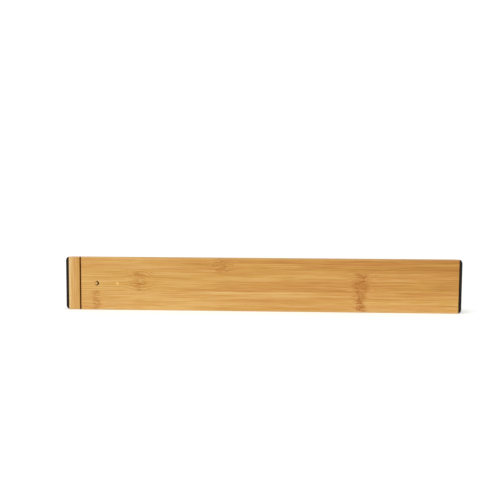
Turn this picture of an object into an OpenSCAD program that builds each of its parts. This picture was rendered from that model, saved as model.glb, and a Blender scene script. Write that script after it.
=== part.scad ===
// Extending magnetic knife rack.
// A laminated bamboo bar holds a row of magnets behind its face. A bamboo slide
// draws out of its left end, and a soft pad on each end grips the side walls.
// Axes: X runs along the bar, -Y is the face that holds the knives, Z is up.
// Origin: bottom centre of the closed rack. Millimetres.

/* [Bar] */
// Length of the bar, without the sliding end and the pads
bar_length = 423; // [350:1:560]
// Height of the bar's face
bar_height = 60; // [50:1:75]
// Thickness of the front panel, which holds the magnets
front_thickness = 7; // [5.8:0.1:12]
// Thickness of the back panel, which holds the hangers
back_thickness = 6; // [5.6:0.1:12]
// Depth of the channel between the two panels
channel_depth = 7; // [5.8:0.1:12]
// Height of the rails that close the channel above and below
rail_height = 8; // [5:0.5:9.6]
// Radius of the rounded long edges
edge_radius = 1.2; // [0.4:0.1:1.6]
// Radius of the eased edges at the ends of the panels
end_radius = 0.6; // [0.3:0.1:1]

/* [Sliding end] */
// Length that the slide draws out of the bar
travel = 114; // [60:1:140]
// Length of the slide that stays in the bar when it is drawn out
slide_hold = 60; // [56:1:90]
// Gap between the end block and the bar when the slide is shut
shut_gap = 1.5; // [1:0.1:4]
// Length of the end block along the bar
block_length = 12.5; // [11:0.5:20]
// Depth of the mortise in the end block
tenon_depth = 8; // [5:0.5:8.5]
// Height of each shoulder beside the slide's tenon
tenon_shoulder = 5; // [2:0.5:8]
// Free space on each side of the slide in its channel, and round the pins in its slot
slide_play = 0.3; // [0.1:0.05:0.5]
// Free space behind the slide's inner end when the slide is shut
slide_end_space = 5; // [2:0.5:20]
// Space that is left between a pin and the slot's end when the slide is on its stop
stop_gap = 0.3; // [0.1:0.05:0.5]

/* [Pins] */
// Diameter of the bamboo pins
pin_diameter = 4; // [3:0.1:5]
// How much wider the stop pin's hole in the front panel is than the pin
stop_hole_play = 1.2; // [0.2:0.1:2]
// Distance of the stop pin's hole from the bar's left end
stop_pin_inset = 18; // [12:0.5:24]
// Distance between the holes of the two pins
pin_spacing = 23.5; // [14:0.5:28]
// Depth of the pins in the back panel
pin_seat = 3; // [2:0.1:4]
// Depth of the pins' heads below the face
pin_sink = 0.2; // [0:0.05:0.5]

/* [Magnets] */
// Number of magnets
magnet_count = 12; // [4:1:12]
// Side of a square magnet
magnet_side = 20; // [12:0.5:24]
// Thickness of a magnet
magnet_thickness = 3; // [2:0.1:3.6]
// Distance from the bar's left end to the first magnet
magnet_start = 60; // [58:1:90]
// Distance from the last magnet to the bar's right end
magnet_end = 20; // [15:1:60]
// Thickness of the steel keeper strip behind the magnets
keeper_thickness = 1.2; // [0.9:0.1:1.4]
// Height of the keeper strip past the magnets, above and below
keeper_margin = 2; // [1:0.5:4]
// Depth of the keeper below the front panel's inner side
keeper_sink = 0.2; // [0.1:0.05:0.4]

/* [Pads] */
// Thickness of the soft end pads
pad_thickness = 4; // [3:0.1:6]
// Distance of a pad's outline inside the bar's outline
pad_inset = 0.4; // [0:0.1:2]
// Radius of a pad's rounded outer edges
pad_radius = 2.6; // [1:0.1:2.8]

/* [Hangers] */
// Distance of each keyhole hanger from the shut rack's end
hanger_inset = 72.5; // [70:0.5:110]
// Height of a hanger plate
hanger_height = 42; // [40:1:46]
// Width of a hanger plate
hanger_width = 16; // [15:0.5:22]
// Thickness of a hanger plate
hanger_thickness = 1.2; // [0.9:0.1:1.5]
// Diameter of the keyhole's round opening, which passes the wall screw's head
keyhole_diameter = 9; // [8:0.1:10]
// Width of the keyhole's slot, which fits the wall screw's shank
keyhole_slot = 4.5; // [3.5:0.1:5]
// Distance that the rack drops onto the wall screw
keyhole_drop = 8; // [6:0.5:10]
// Depth of the pocket for the wall screw's head, from the back
head_pocket_depth = 4.8; // [4.2:0.1:5]

/* [Drag spring] */
// Length of the spring's bowed part
bow_length = 36; // [25:1:38]
// Thickness of the spring strip
bow_thickness = 0.5; // [0.3:0.05:0.6]
// Height of the spring strip
bow_height = 12; // [8:0.5:16]
// Depth of the spring's pocket in the slide
bow_pocket = 2; // [1.4:0.1:2.4]
// Free space between the spring's crest and the back panel
bow_clearance = 0.1; // [0.05:0.01:0.2]

/* [Screws] */
// Diameter, head diameter and length of the end block's screws
block_screw = [3, 6, 22];
// Diameter, head diameter and length of the keeper's screws
keeper_screw = [2, 3.8, 5];
// Diameter, head diameter and length of the hangers' screws
hanger_screw = [2.4, 4.8, 5.2];
// Diameter, head diameter and length of the drag spring's screw
bow_screw = [2, 3.6, 3.6];

/* [Hidden] */
$fn = 64;
fit = 0.05;             // clearance of a screw or a pin in its hole
seat = 0.2;             // clearance round a magnet, plate or spring in its pocket
cut_past = 1;           // length that a cut runs past a face
recess_width = 0.24;    // width of a cross recess, as a share of the head's diameter
recess_reach = 0.62;    // span of a cross recess, as a share of the head's diameter
recess_depth = 0.24;    // depth of a cross recess, as a share of the head's diameter
tip_share = 1.2;        // length of a screw's point, in diameters
point_share = 0.25;     // width of a screw's very end, in diameters

thickness = front_thickness + channel_depth + back_thickness;
total_length = bar_length + shut_gap + block_length + 2 * pad_thickness;

// Stations along X, from the left
pad_left_x = -total_length / 2;
block_x = pad_left_x + pad_thickness;
block_right_x = block_x + block_length;
bar_x = block_right_x + shut_gap;
bar_right_x = bar_x + bar_length;
stop_hole_x = bar_x + stop_pin_inset;
stop_pin_x = stop_hole_x - stop_hole_play / 2 + fit;
guide_pin_x = stop_hole_x + pin_spacing;

// Stations across Y, from the front, and up Z
front_y = -thickness / 2;
channel_y = front_y + front_thickness;
back_y = channel_y + channel_depth;
rear_y = back_y + back_thickness;
middle_z = bar_height / 2;

// Slide: the slot's left end meets the stop pin when shut, and its right end the guide pin when drawn out
slot_height = pin_diameter + 2 * slide_play;
slot_left_x = stop_pin_x - pin_diameter / 2 - stop_gap;
slot_right_x = guide_pin_x + pin_diameter / 2 + stop_gap + travel;
slide_right_x = bar_x + slide_hold + travel;
slide_y = channel_y + slide_play;
slide_thickness = channel_depth - 2 * slide_play;
slide_z = rail_height + slide_play;
slide_height = bar_height - 2 * slide_z;
tenon_x = block_right_x - tenon_depth;
tenon_height = slide_height - 2 * tenon_shoulder;
block_screw_reach = (slot_height + slide_height) / 4 - tenon_shoulder / 2;
filler_x = slide_right_x + slide_end_space;

// Magnets and keeper
magnet_run = bar_length - magnet_start - magnet_end;
magnet_pitch = (magnet_run - magnet_side) / (magnet_count - 1);
keeper_height = magnet_side + 2 * keeper_margin;
keeper_y = channel_y - keeper_sink - keeper_thickness;
magnet_y = keeper_y - magnet_thickness;
keeper_gaps = [1, round(magnet_count / 3), round(2 * magnet_count / 3), magnet_count - 1];

// Hangers
hanger_x = [pad_left_x + hanger_inset, -pad_left_x - hanger_inset];
hanger_screw_reach = hanger_height / 2 - hanger_width / 3;
keyhole_z = middle_z - keyhole_drop / 2;

// Drag spring: a flat foot, a bow whose crest rubs on the back panel, and a free lip
foot_length = 9;
lip_length = 2;
slide_wall = 5;         // board left between the spring's pocket and the slide's inner end
slot_wall = 2;          // board left between the spring's pocket and the slot
arc_steps = 256;
bow_rise = bow_pocket + slide_play - bow_clearance;
bow_radius = (pow(bow_length / 2, 2) + pow(bow_rise, 2)) / (2 * bow_rise);
bow_floor_y = slide_y + slide_thickness - bow_pocket;
spring_length = foot_length + bow_length + lip_length;
foot_x = slide_right_x - slide_wall - spring_length;
bow_pocket_z = middle_z + slot_height / 2 + slot_wall;

bamboo = "burlywood";
bamboo_dark = "peru";
steel = "silver";
soft_black = [0.08, 0.07, 0.07];

// ---- Shared shapes ----

// Rectangle from the origin, with both corners on its low-Y side rounded
module eased_rectangle(width, depth, radius) {
    intersection() {
        square([width, depth]);
        union() {
            translate([0, radius]) square([width, depth]);
            translate([radius, 0]) square([width - 2 * radius, depth]);
            translate([radius, radius]) circle(radius);
            translate([width - radius, radius]) circle(radius);
        }
    }
}

// Board with its low-Y face eased: side_radius on the long edges, end_radius at the ends
module eased_board(length, depth, height, side_radius, end_radius) {
    intersection() {
        linear_extrude(height) eased_rectangle(length, depth, end_radius);
        rotate([90, 0, 90]) linear_extrude(length)
            translate([depth, 0]) rotate(90) eased_rectangle(height, depth, side_radius);
    }
}

// Stadium outline: width across, and height from end to end, about its centre
module stadium(width, height) {
    union() {
        square([width, height - width], center = true);
        for (side = [-1, 1])
            translate([0, side * (height - width) / 2]) circle(d = width);
    }
}

// Turns a flat XZ outline into a plate that runs from y towards +Y
module plate_at(y, depth) {
    translate([0, y + depth, 0]) rotate([90, 0, 0]) linear_extrude(depth) children();
}

// Space of a countersunk screw that points along +Z, its head's face at the origin
module screw_space(size, gap = 0) {
    diameter = size[0];
    head = size[1];
    sink = (head - diameter) / 2;
    tip = tip_share * diameter;
    union() {
        translate([0, 0, -gap]) cylinder(h = gap + fit, d = head + 2 * gap);
        cylinder(h = sink, d1 = head + 2 * gap, d2 = diameter + 2 * gap);
        translate([0, 0, sink / 2]) cylinder(h = size[2] - tip - sink / 2, d = diameter + 2 * gap);
        translate([0, 0, size[2] - tip])
            cylinder(h = tip, d1 = diameter + 2 * gap, d2 = point_share * diameter + 2 * gap);
    }
}

// Countersunk screw with a cross recess, pointing along +Z
module screw(size) {
    head = size[1];
    color(steel) difference() {
        screw_space(size);
        for (turn = [0, 90])
            rotate(turn)
                translate([-recess_reach * head / 2, -recess_width * head / 2, -cut_past])
                    cube([recess_reach * head, recess_width * head, cut_past + recess_depth * head]);
    }
}

// ---- Places of what repeats ----

module at_block_screws() {
    for (side = [-1, 1])
        translate([block_x, slide_y + slide_thickness / 2, middle_z + side * block_screw_reach])
            rotate([0, 90, 0]) children();
}

module at_keeper_screws() {
    for (gap = keeper_gaps)
        translate([magnet_x(gap) + magnet_side / 2 + magnet_pitch / 2, channel_y - keeper_sink, middle_z])
            rotate([90, 0, 0]) children();
}

module at_hanger_screws() {
    for (x = hanger_x, side = [-1, 1])
        translate([x, rear_y, middle_z + side * hanger_screw_reach]) rotate([90, 0, 0]) children();
}

module at_bow_screw() {
    translate([foot_x + foot_length / 2, bow_floor_y + bow_thickness, bow_pocket_z + bow_height / 2])
        rotate([90, 0, 0]) children();
}

// Left side of magnet number i, counted from 1
function magnet_x(i) = bar_x + magnet_start + (i - 1) * magnet_pitch;

// ---- Bar ----

module front_panel() {
    color(bamboo) difference() {
        translate([bar_x, front_y, 0])
            eased_board(bar_length, front_thickness, bar_height, edge_radius, end_radius);
        keeper_space();
        for (i = [1:magnet_count]) magnet_space(i);
        at_keeper_screws() screw_space(keeper_screw, fit);
        pin_hole(stop_hole_x, pin_diameter + stop_hole_play, front_y - cut_past, channel_y + cut_past);
        pin_hole(guide_pin_x, pin_diameter + 2 * fit, front_y - cut_past, channel_y + cut_past);
    }
}

module back_panel() {
    color(bamboo) difference() {
        translate([bar_x, rear_y, bar_height]) rotate([180, 0, 0])
            eased_board(bar_length, back_thickness, bar_height, edge_radius, end_radius);
        pin_hole(stop_pin_x, pin_diameter + 2 * fit, back_y - cut_past, back_y + pin_seat);
        pin_hole(guide_pin_x, pin_diameter + 2 * fit, back_y - cut_past, back_y + pin_seat);
        for (x = hanger_x) hanger_pocket(x);
        at_hanger_screws() screw_space(hanger_screw, fit);
    }
}

module rail(z) {
    color(bamboo_dark) translate([bar_x, channel_y, z]) cube([bar_length, channel_depth, rail_height]);
}

module channel_filler() {
    color(bamboo_dark) translate([filler_x, channel_y, rail_height])
        cube([bar_right_x - filler_x, channel_depth, bar_height - 2 * rail_height]);
}

// Round hole along Y, on the bar's centre line
module pin_hole(x, diameter, from_y, to_y) {
    translate([x, from_y, middle_z]) rotate([-90, 0, 0]) cylinder(h = to_y - from_y, d = diameter);
}

module pin(x) {
    color(bamboo) pin_hole(x, pin_diameter, front_y + pin_sink, back_y + pin_seat - fit);
}

// ---- Magnets ----

module magnet(i) {
    color("lightgray") translate([magnet_x(i), magnet_y, middle_z - magnet_side / 2])
        cube([magnet_side, magnet_thickness, magnet_side]);
}

module magnet_space(i) {
    side = magnet_side + 2 * seat;
    translate([magnet_x(i) - seat, magnet_y - fit, middle_z - side / 2])
        cube([side, magnet_thickness + fit + cut_past, side]);
}

module keeper_strip() {
    color(steel) difference() {
        translate([bar_x + magnet_start - keeper_margin, keeper_y, middle_z - keeper_height / 2])
            cube([magnet_run + 2 * keeper_margin, keeper_thickness, keeper_height]);
        at_keeper_screws() screw_space(keeper_screw, fit);
    }
}

module keeper_space() {
    translate([bar_x + magnet_start - keeper_margin - seat, keeper_y, middle_z - keeper_height / 2 - seat])
        cube([magnet_run + 2 * (keeper_margin + seat), front_thickness, keeper_height + 2 * seat]);
}

// ---- Hangers ----

// Keyhole outline about the round opening's centre: the slot rises above it
module keyhole(round_diameter, slot_width) {
    union() {
        circle(d = round_diameter);
        translate([-slot_width / 2, 0]) square([slot_width, keyhole_drop]);
        translate([0, keyhole_drop]) circle(d = slot_width);
    }
}

module hanger_plate(x) {
    color(steel) difference() {
        plate_at(rear_y - hanger_thickness, hanger_thickness) difference() {
            translate([x, middle_z]) stadium(hanger_width, hanger_height);
            translate([x, keyhole_z]) keyhole(keyhole_diameter, keyhole_slot);
        }
        at_hanger_screws() screw_space(hanger_screw, fit);
    }
}

// Recess for the plate, and behind it the pocket in which the wall screw's head slides
module hanger_pocket(x) {
    plate_at(rear_y - hanger_thickness, hanger_thickness + cut_past)
        translate([x, middle_z]) stadium(hanger_width + 2 * seat, hanger_height + 2 * seat);
    plate_at(rear_y - head_pocket_depth, head_pocket_depth)
        translate([x, keyhole_z]) keyhole(keyhole_diameter + 2 * seat, keyhole_diameter + 2 * seat);
}

// ---- Sliding end ----

module slide_board() {
    color(bamboo_dark) difference() {
        union() {
            translate([block_right_x, slide_y, slide_z])
                cube([slide_right_x - block_right_x, slide_thickness, slide_height]);
            translate([tenon_x, slide_y, slide_z + tenon_shoulder])
                cube([tenon_depth + fit, slide_thickness, tenon_height]);
        }
        slide_slot();
        bow_space();
        at_block_screws() screw_space(block_screw, fit);
        at_bow_screw() screw_space(bow_screw, fit);
    }
}

// Slot with round ends, in which the two pins run
module slide_slot() {
    plate_at(slide_y - cut_past, slide_thickness + 2 * cut_past)
        translate([(slot_left_x + slot_right_x) / 2, middle_z])
            rotate(90) stadium(slot_height, slot_right_x - slot_left_x);
}

module end_block() {
    color(bamboo) difference() {
        translate([block_x, front_y, 0]) intersection() {
            eased_board(block_length, thickness, bar_height, edge_radius, end_radius);
            translate([0, thickness, bar_height]) rotate([180, 0, 0])
                eased_board(block_length, thickness, bar_height, edge_radius, end_radius);
        }
        translate([tenon_x, slide_y - fit, slide_z + tenon_shoulder - fit])
            cube([tenon_depth + cut_past, slide_thickness + 2 * fit, tenon_height + 2 * fit]);
        at_block_screws() screw_space(block_screw, fit);
    }
}

// ---- Pads ----

// Soft pad with rounded outer edges, its glued side on the origin's YZ plane and its bulk towards +X
module pad() {
    width = thickness - 2 * pad_inset;
    height = bar_height - 2 * pad_inset;
    color(soft_black) translate([0, -width / 2, pad_inset]) intersection() {
        linear_extrude(height)
            translate([pad_thickness, 0]) rotate(90) eased_rectangle(width, pad_thickness, pad_radius);
        rotate([90, 0, 0]) mirror([0, 0, 1]) linear_extrude(width)
            translate([pad_thickness, 0]) rotate(90) eased_rectangle(height, pad_thickness, pad_radius);
    }
}

// ---- Drag spring ----

// Flat outline of the bent strip in the XY plane, from the foot's left end to the free lip
module bow_outline() {
    union() {
        square([foot_length + bow_thickness, bow_thickness]);
        translate([foot_length + bow_length - bow_thickness, 0])
            square([lip_length + bow_thickness, bow_thickness]);
        translate([foot_length, 0]) intersection() {
            translate([-cut_past, 0]) square([bow_length + 2 * cut_past, bow_rise + cut_past]);
            translate([bow_length / 2, bow_rise - bow_radius]) difference() {
                circle(bow_radius, $fn = arc_steps);
                circle(bow_radius - bow_thickness, $fn = arc_steps);
            }
        }
    }
}

module drag_spring() {
    color(steel) difference() {
        translate([foot_x, bow_floor_y, bow_pocket_z]) linear_extrude(bow_height) bow_outline();
        at_bow_screw() screw_space(bow_screw, fit);
    }
}

module bow_space() {
    translate([foot_x - seat, bow_floor_y, bow_pocket_z - seat])
        cube([spring_length + 2 * seat, bow_pocket + cut_past, bow_height + 2 * seat]);
}

front_panel();
back_panel();
rail(bar_height - rail_height);  // top_rail
rail(0);  // bottom_rail
channel_filler();
translate([bar_right_x, 0, 0]) pad();  // right_pad
keeper_strip();
at_keeper_screws() screw(keeper_screw);  // keeper_screws
pin(stop_pin_x);  // stop_pin
pin(guide_pin_x);  // guide_pin
hanger_plate(hanger_x[0]);  // hanger_plate_left
hanger_plate(hanger_x[1]);  // hanger_plate_right
at_hanger_screws() screw(hanger_screw);  // hanger_screws
slide_board();
end_block();
translate([block_x, 0, 0]) mirror([1, 0, 0]) pad();  // left_pad
at_block_screws() screw(block_screw);  // block_screws
drag_spring();
at_bow_screw() screw(bow_screw);  // drag_spring_screw
for (i = [1:magnet_count])
    magnet(i);
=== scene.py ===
import math

import bpy
from mathutils import Matrix, Vector


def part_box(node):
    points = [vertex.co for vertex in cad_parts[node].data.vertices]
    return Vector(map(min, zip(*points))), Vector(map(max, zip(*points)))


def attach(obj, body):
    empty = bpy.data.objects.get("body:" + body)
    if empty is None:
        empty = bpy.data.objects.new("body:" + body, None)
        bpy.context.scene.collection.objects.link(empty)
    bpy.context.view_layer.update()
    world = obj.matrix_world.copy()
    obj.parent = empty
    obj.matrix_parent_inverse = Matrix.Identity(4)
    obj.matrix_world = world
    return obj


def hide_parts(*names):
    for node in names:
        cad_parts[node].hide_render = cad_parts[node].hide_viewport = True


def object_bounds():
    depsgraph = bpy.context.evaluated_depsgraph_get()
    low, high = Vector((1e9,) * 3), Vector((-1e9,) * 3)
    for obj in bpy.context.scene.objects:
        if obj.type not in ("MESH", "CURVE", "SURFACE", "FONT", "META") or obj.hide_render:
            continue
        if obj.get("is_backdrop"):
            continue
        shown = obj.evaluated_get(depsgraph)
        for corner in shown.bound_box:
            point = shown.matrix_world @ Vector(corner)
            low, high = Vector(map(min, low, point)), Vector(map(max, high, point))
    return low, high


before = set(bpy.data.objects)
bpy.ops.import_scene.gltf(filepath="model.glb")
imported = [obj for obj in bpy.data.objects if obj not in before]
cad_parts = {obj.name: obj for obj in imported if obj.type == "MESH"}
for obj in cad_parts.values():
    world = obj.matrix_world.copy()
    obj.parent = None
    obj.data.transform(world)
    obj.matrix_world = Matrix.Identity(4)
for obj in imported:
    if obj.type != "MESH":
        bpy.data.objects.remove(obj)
low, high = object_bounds()

# ---- Sizes, in metres. The bar lies along X, its face looks towards -Y, and Z is up ----

MM = 0.001
face_low, face_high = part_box("front_panel")
rail_low, rail_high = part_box("top_rail")
pin_low, pin_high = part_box("stop_pin")
BAR_LEFT, BAR_RIGHT = face_low.x, face_high.x
BAR_ENDS = (BAR_LEFT, BAR_RIGHT)
BAR_BOTTOM, BAR_TOP = face_low.z, face_high.z
BAR_CENTRE = ((BAR_LEFT + BAR_RIGHT) / 2, (BAR_BOTTOM + BAR_TOP) / 2)
BLOCK_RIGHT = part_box("end_block")[1].x
FACE_Y = face_low.y
BACK_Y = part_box("back_panel")[1].y
# The long edges, as their Y and Z
FRONT_EDGES = ((FACE_Y, BAR_BOTTOM), (FACE_Y, BAR_TOP))
BACK_EDGES = ((BACK_Y, BAR_BOTTOM), (BACK_Y, BAR_TOP))
# A panel has two full slats and a trimmed one at the top. SLAT_1 to SLAT_3 are their lower edges
SLAT = 22 * MM
SLAT_1, SLAT_2, SLAT_3 = [BAR_BOTTOM + SLAT * n for n in range(3)]
BLOCK_SLAT = 30 * MM
CORE_SLAT = 9 * MM
# The stop pin's head is left unshaded round a middle that lies a little to the left of its own. Beyond that
# circle a dark crescent is painted on it as shade from the rim of its hole
PIN_UNSHADED_MIDDLE = (pin_low + pin_high) / 2 - Vector((0.6 * MM, 0, 0))
PIN_UNSHADED_RADIUS = 1.9 * MM

# How much bare oiled bamboo and foam shine
WOOD_SPECULAR = 0.35
FOAM_SPECULAR = 0.20

# ---- Colours ----


def srgb(red, green, blue):
    """A colour from its 0 to 255 values, as the linear colour that shaders take."""
    def linear(value):
        value /= 255
        return value / 12.92 if value <= 0.04045 else ((value + 0.055) / 1.055) ** 2.4
    return (linear(red), linear(green), linear(blue), 1.0)


BAMBOO_PALE = srgb(220, 183, 116)
BAMBOO_BODY = srgb(198, 148, 70)
BAMBOO_DARK = srgb(164, 109, 37)
BAMBOO_ROSY = srgb(188, 118, 60)
BLOCK_PALE = srgb(224, 191, 136)
KNOT_BROWN = srgb(158, 89, 14)
KNOT_SPECK = srgb(228, 192, 128)
# Painted shade: dark brown on sawn end faces, standing in for shade in the gap between the block and the bar,
# along with oil in the end grain
END_SHADE_BROWN = srgb(150, 76, 8)
# Painted highlight on the rounded long edges of the boards
EDGE_HIGHLIGHT = srgb(194, 160, 110)
CORE_PALE = srgb(198, 152, 94)
CORE_BODY = srgb(172, 124, 68)
CORE_DARK = srgb(136, 90, 44)
PIN_TAN = srgb(204, 156, 90)
PIN_PALE = srgb(232, 186, 112)
PIN_STRAW = srgb(220, 170, 96)
FOAM_BLACK = srgb(26, 18, 11)
FOAM_GREY = srgb(54, 43, 33)
# Painted shade: the dark crescent on the stop pin's end, where the rim of its hole shades it
RIM_SHADE_BROWN = srgb(58, 34, 14)
ZINC = srgb(196, 198, 198)
ZINC_DULL = srgb(150, 152, 150)
MILL_STEEL = srgb(140, 141, 143)
MILL_STEEL_DARK = srgb(96, 97, 100)
SPRING_BLUE = srgb(92, 96, 112)
SPRING_STRAW = srgb(128, 116, 98)
NICKEL = srgb(206, 200, 190)
NICKEL_DULL = srgb(170, 164, 154)
FLOOR_WHITE = srgb(250, 250, 249)

# ---- Node helpers ----


def add(tree, kind, inputs=None, **settings):
    """Adds a node. inputs maps socket names or numbers to values, or to sockets that it links."""
    node = tree.nodes.new(kind)
    for name, value in settings.items():
        setattr(node, name, value)
    for name, value in (inputs or {}).items():
        if isinstance(value, bpy.types.NodeSocket):
            tree.links.new(value, node.inputs[name])
        else:
            node.inputs[name].default_value = value
    return node


def place(tree, group, inputs):
    """Puts a shader group into a tree and returns its outputs."""
    return add(tree, "ShaderNodeGroup", inputs, node_tree=group).outputs


def maths(tree, operation, a, b=0.0, clamp=False):
    return add(tree, "ShaderNodeMath", {0: a, 1: b}, operation=operation, use_clamp=clamp).outputs[0]


def times(tree, a, b):
    return maths(tree, "MULTIPLY", a, b)


def minus(tree, a, b):
    return maths(tree, "SUBTRACT", a, b)


def most(tree, a, b):
    return maths(tree, "MAXIMUM", a, b)


def total(tree, *values):
    result = values[0]
    for value in values[1:]:
        result = maths(tree, "ADD", result, value)
    return result


def apart(tree, a, b):
    """How far two values are from each other."""
    return maths(tree, "ABSOLUTE", minus(tree, a, b))


def held(tree, value):
    """The value, kept between 0 and 1."""
    return maths(tree, "ADD", value, 0.0, clamp=True)


def swing(tree, value, reach):
    """A 0 to 1 value turned into -reach to reach."""
    return times(tree, minus(tree, value, 0.5), 2 * reach)


def ramp(tree, value, start, end, low_end=0.0, high_end=1.0):
    """Smooth step of value, from low_end at start to high_end at end."""
    inputs = {"Value": value, "From Min": start, "From Max": end, "To Min": low_end, "To Max": high_end}
    return add(tree, "ShaderNodeMapRange", inputs, interpolation_type="SMOOTHSTEP").outputs[0]


def mix(tree, factor, a, b):
    """Colour a, turning into colour b as the factor goes from 0 to 1."""
    return add(tree, "ShaderNodeMix", {0: factor, 6: a, 7: b}, data_type="RGBA").outputs[2]


def split(tree, vector):
    return add(tree, "ShaderNodeSeparateXYZ", {0: vector}).outputs


def join(tree, x, y, z):
    return add(tree, "ShaderNodeCombineXYZ", {0: x, 1: y, 2: z}).outputs[0]


def vector_maths(tree, operation, *vectors):
    return add(tree, "ShaderNodeVectorMath", dict(enumerate(vectors)), operation=operation).outputs


def stretched(tree, vector, stretch):
    """The vector with each axis multiplied by its own number."""
    return vector_maths(tree, "MULTIPLY", vector, stretch)[0]


def length(tree, vector):
    return vector_maths(tree, "LENGTH", vector)["Value"]


def distance(tree, vector, point, axes):
    """How far the vector is from a point, counting only the axes that are 1."""
    off = vector_maths(tree, "SUBTRACT", vector, point)[0]
    return length(tree, stretched(tree, off, axes))


def noise(tree, vector, stretch, seed=0.0, detail=2.0, roughness=0.5, distortion=0.0):
    """Noise from 0 to 1, with stretch giving the lumps per metre along each axis."""
    inputs = {"Vector": stretched(tree, vector, stretch), "W": seed, "Scale": 1.0, "Detail": detail,
              "Roughness": roughness, "Distortion": distortion}
    return add(tree, "ShaderNodeTexNoise", inputs, noise_dimensions="4D").outputs[0]


def cells(tree, vector, stretch):
    """A pattern of cells, with stretch giving the cells per metre along each axis."""
    inputs = {"Vector": stretched(tree, vector, stretch), "Scale": 1.0}
    return add(tree, "ShaderNodeTexVoronoi", inputs).outputs


def new_group(name, inputs, outputs):
    """An empty shader group with its named sockets, and its input and output nodes."""
    group = bpy.data.node_groups.new(name, "ShaderNodeTree")
    for label, kind, value in inputs:
        socket = group.interface.new_socket(label, in_out="INPUT", socket_type="NodeSocket" + kind)
        if value is not None:
            socket.default_value = value
    for label, kind in outputs:
        group.interface.new_socket(label, in_out="OUTPUT", socket_type="NodeSocket" + kind)
    return group, add(group, "NodeGroupInput").outputs, add(group, "NodeGroupOutput").inputs


# ---- Bamboo: slats, knots and streaks ----

# Layers of the grain: lumps per metre along it, in depth and across it, then the layer's own seed,
# detail, roughness and distortion
GRAIN = {
    "broad": ((6, 60, 110), 0.0, 1.0, 0.50, 0.0),
    "bands": ((8, 160, 330), 0.0, 2.0, 0.55, 0.0),
    "strands": ((12, 480, 1150), 0.0, 2.0, 0.60, 0.0),
    "fibres": ((42, 1500, 2600), 0.0, 2.0, 0.60, 0.0),
    "dashes": ((40, 1500, 2300), 5.0, 1.0, 0.50, 0.0),
    "hue": ((5, 50, 150), 7.0, 1.0, 0.50, 0.0),
    "flecks": ((150, 420, 760), 9.0, 2.0, 0.60, 0.5),
    "curls": ((420, 900, 2000), 11.0, 2.0, 0.60, 0.8),
}
# How far each layer swings the tone, and the height of the surface
TONE_SWING = {"broad": 0.20, "bands": 0.22, "strands": 0.72, "fibres": 0.46}
HEIGHT_SWING = {"fibres": 0.30, "strands": 0.25}


def grain_path(tree, along, seed, bend, disturb):
    """Height across the grain, bent as fibres wander: a little everywhere, and more inside a knot."""
    wander = swing(tree, noise(tree, along, (8, 25, 30), seed, 1.0), 0.5 * MM)
    twist = swing(tree, noise(tree, along, (130, 60, 210), seed, 1.0), 1.7 * MM)
    curl = swing(tree, noise(tree, along, (420, 160, 480), total(tree, seed, 3.0), 1.0), 0.7 * MM)
    knotty = times(tree, total(tree, twist, curl), disturb)
    return total(tree, split(tree, along)[2], wander, bend, knotty)


def slat_rows(tree, height, slat, seed):
    """Each slat's own random number, and a mask of the seams between slats."""
    rows = maths(tree, "DIVIDE", height, slat)
    share = maths(tree, "FRACT", rows)
    row = total(tree, maths(tree, "FLOOR", rows), seed)
    own = add(tree, "ShaderNodeTexWhiteNoise", {"W": row}, noise_dimensions="1D").outputs[0]
    edge = maths(tree, "MINIMUM", share, minus(tree, 1.0, share))
    seam = ramp(tree, times(tree, edge, slat), 0.05 * MM, 0.3 * MM, 1.0, 0.0)
    return own, seam


def grain_layers(tree, lines, seed):
    """The noise of each layer of the grain, and the mottle that knots have inside."""
    layer = {}
    for name, (stretch, own_seed, detail, roughness, distortion) in GRAIN.items():
        layer[name] = noise(tree, lines, stretch, total(tree, seed, own_seed), detail, roughness, distortion)
    layer["dashes"] = ramp(tree, layer["dashes"], 0.58, 0.70)
    layer["hue"] = ramp(tree, layer["hue"], 0.40, 0.70)
    layer["mottle"] = total(tree, times(tree, layer["flecks"], 0.55), times(tree, layer["curls"], 0.45))
    return layer


def wood_tone(tree, tone, dark, body, pale):
    """Dark wood at tone 0, body colour at 0.5 and pale wood at 1."""
    darker = mix(tree, maths(tree, "MULTIPLY", tone, 2.0, clamp=True), dark, body)
    above = maths(tree, "MULTIPLY", minus(tree, tone, 0.5), 2.0, clamp=True)
    return mix(tree, above, darker, pale)


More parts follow.
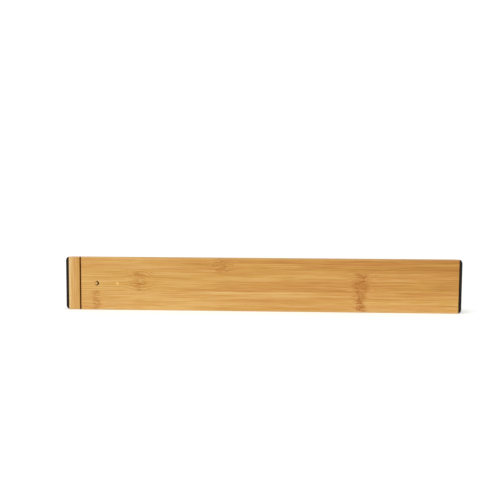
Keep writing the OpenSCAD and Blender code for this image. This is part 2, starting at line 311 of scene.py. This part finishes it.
def make_bamboo_board():
    """Bamboo slats side by side. Along has the grain on X, the board's depth on Y and its height on Z."""
    tree, given, result = new_group(
        "bamboo_board",
        [("Along", "Vector", None), ("Seed", "Float", 0.0), ("Slat", "Float", SLAT), ("Lift", "Float", 0.0),
         ("Disturb", "Float", 0.0), ("Brown", "Float", 0.0), ("Bend", "Float", 0.0), ("Rings", "Float", 0.0),
         ("Streak", "Float", 0.0), ("Pale", "Color", BAMBOO_PALE), ("Body", "Color", BAMBOO_BODY),
         ("Dark", "Color", BAMBOO_DARK)],
        [("Color", "Color"), ("Roughness", "Float"), ("Height", "Float")])
    seed, disturb, streak = given["Seed"], given["Disturb"], given["Streak"]
    parts = split(tree, given["Along"])
    across = grain_path(tree, given["Along"], seed, given["Bend"], disturb)
    own, seam = slat_rows(tree, parts[2], given["Slat"], seed)
    metres_of_grain = 3.0
    own_stretch = total(tree, parts[0], times(tree, own, metres_of_grain))
    layer = grain_layers(tree, join(tree, own_stretch, parts[1], across), seed)

    swings = [swing(tree, layer[name], reach) for name, reach in TONE_SWING.items()]
    tone = total(
        tree, 0.5, given["Lift"], given["Rings"], *swings, swing(tree, own, 0.05),
        times(tree, swing(tree, layer["mottle"], 1.1), disturb), times(tree, layer["dashes"], -0.24),
        times(tree, seam, -0.10), times(tree, streak, -0.22))
    wood = wood_tone(tree, tone, given["Dark"], given["Body"], given["Pale"])
    rosy = most(tree, times(tree, layer["hue"], 0.34), streak)
    wood = mix(tree, times(tree, rosy, 0.75), wood, BAMBOO_ROSY)
    stain = times(tree, given["Brown"], ramp(tree, layer["mottle"], 0.38, 0.60, 1.0, 0.15))
    wood = mix(tree, stain, wood, KNOT_BROWN)
    specks = times(tree, disturb, ramp(tree, layer["mottle"], 0.60, 0.72, 0.0, 0.6))
    tree.links.new(mix(tree, specks, wood, KNOT_SPECK), result["Color"])

    rough = total(tree, 0.47, swing(tree, layer["strands"], 0.08), times(tree, disturb, -0.05))
    tree.links.new(rough, result["Roughness"])
    swings = [swing(tree, layer[name], reach) for name, reach in HEIGHT_SWING.items()]
    relief = total(tree, *swings, times(tree, layer["dashes"], -0.5), times(tree, seam, -0.8),
                   times(tree, swing(tree, layer["mottle"], 0.8), disturb))
    tree.links.new(relief, result["Height"])
    return tree


def make_culm_knot():
    """A band across one slat, where the bamboo stem had a joint. Fibres part round its middle, and
    faint rings lie round it."""
    tree, given, result = new_group(
        "culm_knot",
        [("Along", "Vector", None), ("At", "Float", 0.0), ("Bottom", "Float", 0.0), ("Top", "Float", SLAT),
         ("Half width", "Float", 5 * MM), ("Part", "Float", 0.0), ("Seed", "Float", 0.0)],
        [("Core", "Float"), ("Halo", "Float"), ("Bend", "Float"), ("Rings", "Float")])
    along, seed = given["Along"], given["Seed"]
    parts = split(tree, along)
    off_x = minus(tree, parts[0], given["At"])
    ragged = total(tree, swing(tree, noise(tree, along, (60, 60, 190), seed, 1.0), 0.6),
                   swing(tree, noise(tree, along, (90, 90, 800), seed, 1.0), 0.8))
    away = maths(tree, "ABSOLUTE", total(tree, maths(tree, "DIVIDE", off_x, given["Half width"]), ragged))
    soft = 0.8 * MM
    over = ramp(tree, minus(tree, parts[2], given["Bottom"]), -soft, soft)
    under = ramp(tree, minus(tree, given["Top"], parts[2]), -soft, soft)
    inside = times(tree, over, under)
    core = times(tree, ramp(tree, away, 0.3, 1.3, 1.0, 0.0), inside)
    halo = times(tree, ramp(tree, away, 0.4, 3.0, 1.0, 0.0), inside)
    tree.links.new(core, result["Core"])
    tree.links.new(halo, result["Halo"])

    middle = times(tree, total(tree, given["Bottom"], given["Top"]), 0.5)
    off_z = minus(tree, middle, parts[2])
    parting = times(tree, halo, given["Part"])
    tree.links.new(times(tree, off_z, parting), result["Bend"])
    uneven = swing(tree, noise(tree, along, (180, 100, 240), seed, 2.0), 1.5 * MM)
    radius = total(tree, length(tree, join(tree, times(tree, off_x, 0.6), 0.0, off_z)), uneven)
    rings_per_metre = 800.0
    rings = add(tree, "ShaderNodeTexNoise", {"W": times(tree, radius, rings_per_metre), "Scale": 1.0},
                noise_dimensions="1D").outputs[0]
    darkened = swing(tree, minus(tree, rings, 0.12), 0.7)
    tree.links.new(times(tree, darkened, parting), result["Rings"])
    return tree


def make_sap_streak():
    """A long thin coloured line in the grain."""
    tree, given, result = new_group(
        "sap_streak",
        [("Along", "Vector", None), ("From", "Float", 0.0), ("To", "Float", 0.1), ("Level", "Float", 0.0),
         ("Half height", "Float", 0.6 * MM), ("Seed", "Float", 0.0)],
        [("Mask", "Float")])
    parts = split(tree, given["Along"])
    drift = swing(tree, noise(tree, given["Along"], (16, 1, 1), given["Seed"], 1.0), 1.4 * MM)
    off = apart(tree, total(tree, parts[2], drift), given["Level"])
    line = ramp(tree, maths(tree, "DIVIDE", off, given["Half height"]), 0.2, 1.6, 1.0, 0.0)
    fade = 22 * MM
    start = ramp(tree, minus(tree, parts[0], given["From"]), 0.0, fade)
    end = ramp(tree, minus(tree, given["To"], parts[0]), 0.0, fade)
    tree.links.new(times(tree, line, times(tree, start, end)), result["Mask"])
    return tree


# ---- Handling and brushing ----


def make_handling():
    """Faint smudges from hands and cloths, and specks of dust: masks from 0 to 1."""
    tree, given, result = new_group("handling", [("Place", "Vector", None), ("Seed", "Float", 0.0)],
                                    [("Smudge", "Float"), ("Dust", "Float")])
    smudge = noise(tree, given["Place"], (38, 38, 38), given["Seed"], 3.0, 0.55, 0.6)
    tree.links.new(ramp(tree, smudge, 0.38, 0.72), result["Smudge"])
    dust = noise(tree, given["Place"], (1400, 1400, 1400), given["Seed"])
    tree.links.new(ramp(tree, dust, 0.66, 0.80), result["Dust"])
    return tree


def make_brushed():
    """Fine parallel lines of a rolled or ground metal: a mask and a height."""
    tree, given, result = new_group("brushed", [("Place", "Vector", None), ("Seed", "Float", 0.0)],
                                    [("Lines", "Float"), ("Height", "Float")])
    lines = noise(tree, given["Place"], (70, 900, 3200), given["Seed"], 3.0, 0.6)
    tree.links.new(lines, result["Lines"])
    tree.links.new(swing(tree, lines, 0.5), result["Height"])
    return tree


BAMBOO_BOARD = make_bamboo_board()
CULM_KNOT = make_culm_knot()
SAP_STREAK = make_sap_streak()
HANDLING = make_handling()
BRUSHED = make_brushed()

# ---- Materials ----


def new_material(name):
    """A material with its tree and its Principled shader."""
    material = bpy.data.materials.new(name)
    material.use_nodes = True
    return material, material.node_tree, material.node_tree.nodes["Principled BSDF"]


def object_place(tree):
    return add(tree, "ShaderNodeTexCoord").outputs["Object"]


def wire(tree, shader, color, roughness, height, depth, strength):
    """Links a finish to its shader. depth is how deep the full height of the bump goes."""
    tree.links.new(color, shader.inputs["Base Color"])
    tree.links.new(roughness, shader.inputs["Roughness"])
    bump = add(tree, "ShaderNodeBump", {"Height": height, "Distance": depth, "Strength": strength})
    tree.links.new(bump.outputs[0], shader.inputs["Normal"])


def add_knots(tree, along, seed, knots):
    """Places the knots, and returns what they do to the board together."""
    disturb, brown, bend, rings = 0.0, 0.0, 0.0, 0.0
    for number, (at, bottom, top, half_width, part, stain, strength) in enumerate(knots):
        knot = place(tree, CULM_KNOT, {"Along": along, "At": at, "Bottom": bottom, "Top": top,
                                       "Half width": half_width, "Part": part, "Seed": seed + number})
        disturb = most(tree, disturb, times(tree, knot["Halo"], strength))
        brown = most(tree, brown, times(tree, knot["Core"], stain))
        bend = total(tree, bend, knot["Bend"])
        rings = total(tree, rings, knot["Rings"])
    return {"Disturb": disturb, "Brown": brown, "Bend": bend, "Rings": rings}


def add_streaks(tree, along, seed, streaks):
    """Places the streaks, and returns their mask."""
    mask = 0.0
    for number, (start, end, level, half_height, strength) in enumerate(streaks):
        line = place(tree, SAP_STREAK, {"Along": along, "From": start, "To": end, "Level": level,
                                        "Half height": half_height, "Seed": seed + number})["Mask"]
        mask = most(tree, mask, times(tree, line, strength))
    return {"Streak": mask}


def tone_of_place(tree, parts, centre, drift, climb, corner):
    """Tone that changes by drift for each metre along X and by climb for each metre up Z, counted from
    centre, and by corner for each square metre, so that it is stronger towards one corner."""
    to_right = minus(tree, parts[0], centre[0])
    upwards = minus(tree, parts[2], centre[1])
    return total(tree, times(tree, to_right, drift), times(tree, upwards, climb),
                 times(tree, times(tree, to_right, upwards), corner))


def mark_lines(tree, color, value, places, reach, strength, mark):
    """Draws a fine line of another colour wherever value comes near one of some places."""
    for level in places:
        line = ramp(tree, apart(tree, value, level), 0.05 * MM, reach, strength, 0.0)
        color = mix(tree, line, color, mark)
    return color


def paint_edge_highlight(tree, color, where, seed, edges):
    """Paints a highlight on the rounded long edges: paler, in an uneven band that fades out 2.2 mm from each.
    """
    if not edges:
        return color
    highlight_unevenness = ramp(tree, noise(tree, where, (45, 45, 45), seed), 0.3, 0.6, 0.35, 0.65)
    for depth, level in edges:
        off = distance(tree, where, (0, depth, level), (0, 1, 1))
        band = ramp(tree, off, 0.5 * MM, 2.2 * MM, 1.0, 0.0)
        color = mix(tree, times(tree, band, highlight_unevenness), color, EDGE_HIGHLIGHT)
    return color


def bamboo(name, seed, knots=(), streaks=(), upright=False, centre=BAR_CENTRE, drift=0.0, climb=0.0,
           corner=0.0, slat=SLAT, first_slat=0.0, pale=BAMBOO_PALE, body=BAMBOO_BODY, dark=BAMBOO_DARK,
           glue_lines=(), shaded_ends=(), highlight_edges=()):
    """Oiled bamboo with its grain along X, or along Z if upright. first_slat lifts the lowest slat's tone.
    glue_lines are depths in Y. shaded_ends are places in X where the sawn end faces get a painted dark brown,
    which is shade in the gap between the block and the bar as well as oil soaked into the end grain.
    highlight_edges are the
    Y and Z of long edges that get a painted highlight."""
    material, tree, shader = new_material(name)
    where = object_place(tree)
    parts = split(tree, where)
    along = join(tree, parts[2], parts[1], parts[0]) if upright else where
    first = ramp(tree, parts[2], slat - 0.2 * MM, slat + 0.2 * MM, first_slat, 0.0)
    lift = total(tree, tone_of_place(tree, parts, centre, drift, climb, corner), first)
    board = place(tree, BAMBOO_BOARD, {
        "Along": along, "Seed": seed, "Slat": slat, "Lift": lift, "Pale": pale, "Body": body, "Dark": dark,
        **add_knots(tree, along, seed, knots), **add_streaks(tree, along, seed, streaks)})

    color = mark_lines(tree, board["Color"], parts[1], glue_lines, 0.3 * MM, 0.6, KNOT_BROWN)
    # Painted shade: the sawn end faces turn dark brown, standing in for shade in the gap between the block
    # and the bar, along with oil in the end grain
    color = mark_lines(tree, color, parts[0], shaded_ends, 0.25 * MM, 0.82, END_SHADE_BROWN)
    # Painted highlight: a pale uneven band along the rounded long edges
    color = paint_edge_highlight(tree, color, where, seed, highlight_edges)
    hands = place(tree, HANDLING, {"Place": where, "Seed": seed})
    rough = total(tree, board["Roughness"], times(tree, hands["Smudge"], -0.05))
    wire(tree, shader, color, rough, board["Height"], 0.06 * MM, 0.5)
    shader.inputs["Specular IOR Level"].default_value = WOOD_SPECULAR
    return material


def end_grain(name, pale, body, unshaded=None):
    """The cut end of a bamboo dowel, with dark dots where the fibre bundles end.
    unshaded is the middle and the radius of a circle. Outside it a dark crescent is painted as shade from the
    rim of the pin's hole."""
    material, tree, shader = new_material(name)
    where = object_place(tree)
    dots = cells(tree, where, (1500, 40, 1500))["Distance"]
    rings = noise(tree, where, (300, 30, 300), 3.0)
    color = mix(tree, ramp(tree, dots, 0.10, 0.45, 0.55, 0.0), mix(tree, rings, pale, body), BAMBOO_DARK)
    if unshaded:
        middle, radius = unshaded
        reach = distance(tree, where, middle, (1, 0, 1))
        # Painted shade: a dark crescent on the pin's end outside the unshaded circle, standing in for the
        # shadow in its hole's gap
        color = mix(tree, ramp(tree, reach, radius - 0.2 * MM, radius + 0.3 * MM, 0.0, 0.9), color, RIM_SHADE_BROWN)
    wire(tree, shader, color, total(tree, 0.5, swing(tree, rings, 0.08)), dots, 0.08 * MM, 0.5)
    shader.inputs["Specular IOR Level"].default_value = WOOD_SPECULAR
    return material


def foam_rubber(name):
    """Dense black foam with fine closed pores, scuffed grey in places."""
    material, tree, shader = new_material(name)
    where = object_place(tree)
    pits = ramp(tree, cells(tree, where, (1500, 1500, 1500))["Distance"], 0.15, 0.45)
    hands = place(tree, HANDLING, {"Place": where, "Seed": 4.0})
    lumps = noise(tree, where, (420, 420, 420), 2.0, 3.0)
    grey = total(tree, times(tree, hands["Smudge"], 0.30), times(tree, hands["Dust"], 0.45),
                 times(tree, pits, 0.25))
    color = mix(tree, held(tree, grey), FOAM_BLACK, FOAM_GREY)
    rough = total(tree, 0.84, swing(tree, lumps, 0.10))
    wire(tree, shader, color, rough, total(tree, pits, swing(tree, lumps, 0.8)), 0.16 * MM, 0.8)
    shader.inputs["Specular IOR Level"].default_value = FOAM_SPECULAR
    return material


def metal(name, bright, dull, roughness, seed, spangle=0.0):
    """Rolled or plated metal. spangle above 0 adds the soft crystal patches of a zinc coat."""
    material, tree, shader = new_material(name)
    where = object_place(tree)
    lines = place(tree, BRUSHED, {"Place": where, "Seed": seed})
    hands = place(tree, HANDLING, {"Place": where, "Seed": seed})
    patch = add(tree, "ShaderNodeSeparateColor", {0: cells(tree, where, (320, 320, 320))["Color"]}).outputs[0]
    worn = held(tree, total(tree, times(tree, patch, spangle), times(tree, lines["Lines"], 1 - spangle),
                            times(tree, hands["Smudge"], 0.2)))
    rough = total(tree, roughness, swing(tree, worn, 0.10))
    wire(tree, shader, mix(tree, worn, bright, dull), rough, lines["Height"], 0.02 * MM, 0.6)
    shader.inputs["Metallic"].default_value = 1.0
    return material


# ---- What each board shows ----

# Knots: place along the bar, bottom and top, half width, how far fibres part, stain, strength
FACE_KNOTS = [
    (BAR_LEFT + 17 * MM, SLAT_1, SLAT_2, 4.5 * MM, 0.15, 0.60, 0.70),
    (BAR_LEFT + 67 * MM, SLAT_2, SLAT_3, 7.0 * MM, 0.38, 0.50, 0.58),
    (BAR_LEFT + 161 * MM, SLAT_3, BAR_TOP, 8.5 * MM, 0.20, 0.40, 0.75),
    (BAR_LEFT + 315 * MM, SLAT_2, SLAT_3, 8.5 * MM, 0.12, 0.85, 0.75),
    (BAR_LEFT + 314 * MM, SLAT_1, SLAT_2, 6.0 * MM, 0.10, 0.95, 0.80),
]
BACK_KNOTS = [
    (BAR_LEFT + 96 * MM, SLAT_2, SLAT_3, 5.0 * MM, 0.30, 0.60, 0.80),
    (BAR_LEFT + 214 * MM, SLAT_3, BAR_TOP, 6.0 * MM, 0.40, 0.35, 0.75),
    (BAR_LEFT + 301 * MM, SLAT_1, SLAT_2, 5.0 * MM, 0.20, 0.70, 0.85),
]
SLIDE_KNOTS = [(-125 * MM, SLAT_1, BAR_TOP, 5.0 * MM, 0.20, 0.50, 0.80)]
# Streaks: start and end along the bar, level, half height, strength
FACE_STREAKS = [
    (BAR_LEFT + 262 * MM, BAR_LEFT + 385 * MM, 53.6 * MM, 0.8 * MM, 0.75),
    (BAR_LEFT + 235 * MM, BAR_LEFT + 300 * MM, 49.6 * MM, 0.9 * MM, 0.50),
    (BAR_LEFT + 345 * MM, BAR_LEFT + 430 * MM, 20.8 * MM, 0.9 * MM, 0.60),
    (BAR_LEFT + 105 * MM, BAR_LEFT + 230 * MM, 23.4 * MM, 1.2 * MM, 0.50),
    (BAR_LEFT + 60 * MM, BAR_LEFT + 175 * MM, 46.5 * MM, 0.9 * MM, 0.30),
]
CORE = {"pale": CORE_PALE, "body": CORE_BODY, "dark": CORE_DARK}
PIN_UNSHADED = (PIN_UNSHADED_MIDDLE, PIN_UNSHADED_RADIUS)

# drift paints light falling off from the left, as painted shade that darkens the face towards the right.
# climb and corner make it darker towards the top right
face_bamboo = bamboo("face_bamboo", 2.0, FACE_KNOTS, FACE_STREAKS, drift=-0.68, climb=-1.0, corner=-24.0,
                     first_slat=0.10, shaded_ends=BAR_ENDS, highlight_edges=FRONT_EDGES)
back_bamboo = bamboo("back_bamboo", 11.0, BACK_KNOTS, shaded_ends=BAR_ENDS, highlight_edges=BACK_EDGES)
# drift makes the block paler towards its left edge. This is painted light from the left, together with a
# paler strip in the wood
block_bamboo = bamboo("block_bamboo", 5.0, upright=True, centre=(BLOCK_RIGHT, 0), drift=-28.0,
                      slat=BLOCK_SLAT, pale=BLOCK_PALE, shaded_ends=(BLOCK_RIGHT,),
                      highlight_edges=FRONT_EDGES + BACK_EDGES)
rail_bamboo = bamboo("rail_bamboo", 17.0, slat=CORE_SLAT, glue_lines=(rail_low.y, rail_high.y), **CORE)
slide_bamboo = bamboo("slide_bamboo", 23.0, SLIDE_KNOTS, **CORE)
stop_pin_bamboo = end_grain("stop_pin_bamboo", PIN_TAN, BAMBOO_BODY, unshaded=PIN_UNSHADED)
guide_pin_bamboo = end_grain("guide_pin_bamboo", PIN_PALE, PIN_STRAW)
pad_foam = foam_rubber("pad_foam")
zinc_plate = metal("zinc_plate", ZINC, ZINC_DULL, 0.36, 3.0, spangle=0.7)
screw_zinc = metal("screw_zinc", ZINC, ZINC_DULL, 0.30, 6.0, spangle=0.3)
keeper_mill = metal("keeper_mill", MILL_STEEL, MILL_STEEL_DARK, 0.42, 8.0)
spring_blued = metal("spring_blued", SPRING_BLUE, SPRING_STRAW, 0.30, 9.0)
magnet_nickel = metal("magnet_nickel", NICKEL, NICKEL_DULL, 0.22, 12.0)

FINISH = {
    "front_panel": face_bamboo, "back_panel": back_bamboo, "end_block": block_bamboo,
    "top_rail": rail_bamboo, "bottom_rail": rail_bamboo, "channel_filler": rail_bamboo,
    "slide_board": slide_bamboo, "keeper_strip": keeper_mill, "keeper_screws": screw_zinc,
    "hanger_screws": screw_zinc, "block_screws": screw_zinc, "drag_spring": spring_blued,
    "drag_spring_screw": screw_zinc,
}


def coat(thing, material):
    """Gives a piece one material all over."""
    thing.data.materials.clear()
    thing.data.materials.append(material)


for name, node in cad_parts.items():
    if name.startswith("magnet_"):
        coat(node, magnet_nickel)
    elif name in FINISH:
        coat(node, FINISH[name])

# ---- Pieces ----


def select_only(thing):
    bpy.ops.object.select_all(action="DESELECT")
    thing.select_set(True)
    bpy.context.view_layer.objects.active = thing


def finish_piece(thing, name, body, material, replaced):
    """Names a finished piece, smooths it, puts its place in its mesh and hands it to the frame."""
    thing.name = name
    thing.data.name = name
    select_only(thing)
    bpy.ops.object.transform_apply(location=True, rotation=True, scale=True)
    bpy.ops.object.shade_smooth_by_angle(angle=math.radians(35))
    coat(thing, material)
    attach(thing, body)
    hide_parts(replaced)
    return thing


def select_where(thing, part, test):
    """Enters edit mode with only those edges or polygons of a mesh selected that pass a test."""
    bpy.ops.object.mode_set(mode="EDIT")
    bpy.ops.mesh.select_mode(type="EDGE" if part == "edges" else "FACE")
    bpy.ops.mesh.select_all(action="DESELECT")
    bpy.ops.object.mode_set(mode="OBJECT")
    for item in getattr(thing.data, part):
        item.select = test(item)
    bpy.ops.object.mode_set(mode="EDIT")


def soft_pad(node, name, body, outward):
    """A soft end pad: round at its corners, rolled over to a slightly crowned outer face."""
    corner, roll, crown, rim, glued_edge = 4.6 * MM, 2.2 * MM, 0.15 * MM, 2.0 * MM, 0.35 * MM
    low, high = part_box(node)
    size = high - low
    bpy.ops.object.select_all(action="DESELECT")
    bpy.ops.mesh.primitive_cube_add(size=1, location=(low + high) / 2 - Vector((outward * crown / 2, 0, 0)))
    pad = bpy.context.object
    pad.scale = (size.x - crown, size.y, size.z)
    bpy.ops.object.transform_apply(location=True, rotation=True, scale=True)
    outer_x = (high.x if outward > 0 else low.x) - outward * crown
    glued_x = low.x if outward > 0 else high.x

    def runs_along_x(edge):
        a, b = (pad.data.vertices[n].co.x for n in edge.vertices)
        return abs(a - b) > size.x / 2

    def lies_at(x):
        return lambda edge: all(abs(pad.data.vertices[n].co.x - x) < 0.01 * MM for n in edge.vertices)

    select_where(pad, "edges", runs_along_x)
    bpy.ops.mesh.bevel(offset=corner, segments=6)
    select_where(pad, "edges", lies_at(outer_x))
    bpy.ops.mesh.bevel(offset=roll, segments=6)
    select_where(pad, "edges", lies_at(glued_x))
    bpy.ops.mesh.bevel(offset=glued_edge, segments=2)
    select_where(pad, "polygons", lambda face: face.normal.x * outward > 0.999)
    bpy.ops.mesh.inset(thickness=rim, depth=crown)
    bpy.ops.object.mode_set(mode="OBJECT")
    piece = finish_piece(pad, name, body, pad_foam, node)
    return piece


def dowel(node, name, material):
    """A bamboo pin, sanded to a low dome that ends flush with the face. Each step of the dome goes
    inward by a width and rises by a share of the way to the face."""
    low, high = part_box(node)
    to_face = low.y - FACE_Y
    bpy.ops.object.select_all(action="DESELECT")
    bpy.ops.mesh.primitive_cylinder_add(vertices=48, radius=(high.x - low.x) / 2, depth=high.y - low.y,
                                        location=(low + high) / 2, rotation=(math.pi / 2, 0, 0))
    pin = bpy.context.object
    bpy.ops.object.transform_apply(location=True, rotation=True, scale=True)
    select_where(pin, "polygons", lambda face: face.normal.y < -0.9)
    dome = ((0.12 * MM, 0.45), (0.25 * MM, 0.30), (0.50 * MM, 0.15), (0.60 * MM, 0.05))
    for inward, rise in dome:
        bpy.ops.mesh.inset(thickness=inward, depth=rise * to_face)
    bpy.ops.object.mode_set(mode="OBJECT")
    return finish_piece(pin, name, "bar", material, node)


def eased_plate(node, name):
    """A copy of a pressed steel hanger plate, its edges rounded by the press."""
    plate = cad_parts[node].copy()
    plate.data = plate.data.copy()
    for key in list(plate.keys()):
        del plate[key]
    plate.parent = None
    bpy.context.scene.collection.objects.link(plate)
    select_only(plate)
    bpy.ops.object.mode_set(mode="EDIT")
    bpy.ops.mesh.select_all(action="SELECT")
    bpy.ops.mesh.remove_doubles(threshold=0.001 * MM)
    bpy.ops.mesh.dissolve_limited(angle_limit=math.radians(1))
    bpy.ops.object.mode_set(mode="OBJECT")
    bevel = plate.modifiers.new("press_round", "BEVEL")
    bevel.width = 0.22 * MM
    bevel.segments = 2
    bevel.angle_limit = math.radians(40)
    bpy.ops.object.modifier_apply(modifier=bevel.name)
    return finish_piece(plate, name, "bar", zinc_plate, node)


soft_pad("left_pad", "left_soft_pad", "slide", -1)
soft_pad("right_pad", "right_soft_pad", "bar", 1)
dowel("stop_pin", "stop_dowel", stop_pin_bamboo)
dowel("guide_pin", "guide_dowel", guide_pin_bamboo)
eased_plate("hanger_plate_left", "left_hanger_plate")
eased_plate("hanger_plate_right", "right_hanger_plate")

# ---- Stage ----


def make_floor():
    """A plain white floor, a little lit from inside, so that its far end is as white as the backdrop."""
    bpy.ops.object.select_all(action="DESELECT")
    bpy.ops.mesh.primitive_plane_add(size=12, location=(0, 0, low.z))
    floor = bpy.context.object
    floor.name = "floor"
    material, _, shader = new_material("floor_white")
    shader.inputs["Base Color"].default_value = FLOOR_WHITE
    shader.inputs["Roughness"].default_value = 0.9
    shader.inputs["Specular IOR Level"].default_value = 0.1
    shader.inputs["Emission Color"].default_value = FLOOR_WHITE
    shader.inputs["Emission Strength"].default_value = 0.12
    coat(floor, material)
    floor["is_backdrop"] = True


def towards_viewer(azimuth, elevation):
    """The direction of a light or camera, in degrees. Azimuth 0 is in front, and a positive one is
    further to the right."""
    turn, rise = math.radians(azimuth), math.radians(elevation)
    return Vector((math.sin(turn) * math.cos(rise), -math.cos(turn) * math.cos(rise), math.sin(rise)))


def make_sun(name, strength, azimuth, elevation, spread):
    """A wide soft light from far away."""
    data = bpy.data.lights.new(name, "SUN")
    data.energy = strength
    data.angle = math.radians(spread)
    light = bpy.data.objects.new(name, data)
    bpy.context.scene.collection.objects.link(light)
    light.rotation_euler = (-towards_viewer(azimuth, elevation)).to_track_quat("-Z", "Y").to_euler()


def make_world(ambient, backdrop):
    """Soft light from all round, and a white backdrop behind the floor."""
    world = bpy.data.worlds.new("studio")
    bpy.context.scene.world = world
    world.use_nodes = True
    tree = world.node_tree
    tree.nodes.clear()
    around = add(tree, "ShaderNodeBackground", {"Color": (1, 1, 1, 1), "Strength": ambient})
    behind = add(tree, "ShaderNodeBackground", {"Color": (1, 1, 1, 1), "Strength": backdrop})
    seen = add(tree, "ShaderNodeLightPath").outputs["Is Camera Ray"]
    both = add(tree, "ShaderNodeMixShader", {0: seen, 1: around.outputs[0], 2: behind.outputs[0]})
    add(tree, "ShaderNodeOutputWorld", {"Surface": both.outputs[0]})


def make_camera(aim, azimuth, elevation, roll, distance, lens, shift):
    """A camera that looks at aim from a distance, rolled by a few tenths of a degree."""
    back = towards_viewer(azimuth, elevation)
    data = bpy.data.cameras.new("camera")
    data.lens = lens
    data.shift_x, data.shift_y = shift
    camera = bpy.data.objects.new("camera", data)
    bpy.context.scene.collection.objects.link(camera)
    facing = (-back).to_track_quat("-Z", "Y").to_matrix().to_4x4()
    rolled = facing @ Matrix.Rotation(math.radians(roll), 4, "Z")
    camera.matrix_world = Matrix.Translation(aim + back * distance) @ rolled
    bpy.context.scene.camera = camera


make_floor()
make_world(ambient=0.58, backdrop=1.05)
make_sun("key", strength=1.82, azimuth=-25, elevation=52, spread=50)
make_camera(aim=Vector((0, FACE_Y, BAR_CENTRE[1])), azimuth=2.06, elevation=3.40, roll=0.447,
            distance=0.61, lens=40.87, shift=(-0.0447, 0.0935))
bpy.context.scene.view_settings.view_transform = "Standard"

low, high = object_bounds()
